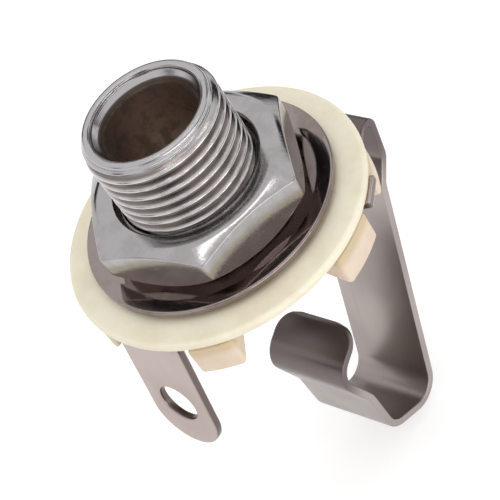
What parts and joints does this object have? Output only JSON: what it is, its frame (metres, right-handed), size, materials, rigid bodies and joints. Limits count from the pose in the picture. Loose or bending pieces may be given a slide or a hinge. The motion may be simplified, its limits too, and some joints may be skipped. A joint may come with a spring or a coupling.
{
  "type": "mono jack socket",
  "caption": "Open panel-mount mono jack socket: threaded bush with nut and washer, insulated stack, tip spring and solder lugs.",
  "frame": {"origin": "on the bush's axis, at the front face of the front insulator, where the panel's back rests", "axes": "+Z along the bush's axis out of its mouth, +Y towards the tip spring's arm, +X along the width of the spring"},
  "size_m": [0.0215, 0.0236, 0.0374],
  "materials": {
    "bush_nickel": "nickel plate on turned brass",
    "nut_nickel": "nickel plate, lightly brushed flats",
    "washer_nickel": "bright nickel plate",
    "disc_nylon": "cream nylon, satin",
    "moulded_insulator": "cream moulding, matt",
    "terminal_nickel": "dull nickel plate on sheet",
    "spring_nickel": "dull nickel plate on spring sheet"
  },
  "bodies": {
    "stack": {"threaded_bush": "bush_nickel", "front_insulator": "disc_nylon", "notched_insulator": "moulded_insulator", "sleeve_terminal": "terminal_nickel", "rear_insulator": "moulded_insulator", "rear_washer": "washer_nickel"},
    "spring": {"tip_spring": "spring_nickel"},
    "washer": {"dished_washer": "washer_nickel"},
    "nut": {"hex_nut": "nut_nickel"}
  },
  "joints": [
    {"name": "spring_flex", "type": "hinge", "parent": "stack", "child": "spring", "pos_m": [0, 0.01155, -0.00497], "axis": [1, 0, 0], "range_deg": [0, 16], "stiffness_Nm_per_rad": 0.18, "deforming": ["tip_spring"]},
    {"name": "washer_slide", "type": "slide", "parent": "stack", "child": "washer", "axis": [0, 0, 1], "range_m": [0, 0.0053]},
    {"name": "nut_turn", "type": "hinge", "parent": "washer", "child": "nut", "pos_m": [0, 0, 0.0022], "axis": [0, 0, 1], "range_deg": [0, 2404]}
  ],
  "couplings": [
    {"joint": "nut_turn", "follows": "washer_slide", "rad_per_m": 7915.8}
  ]
}
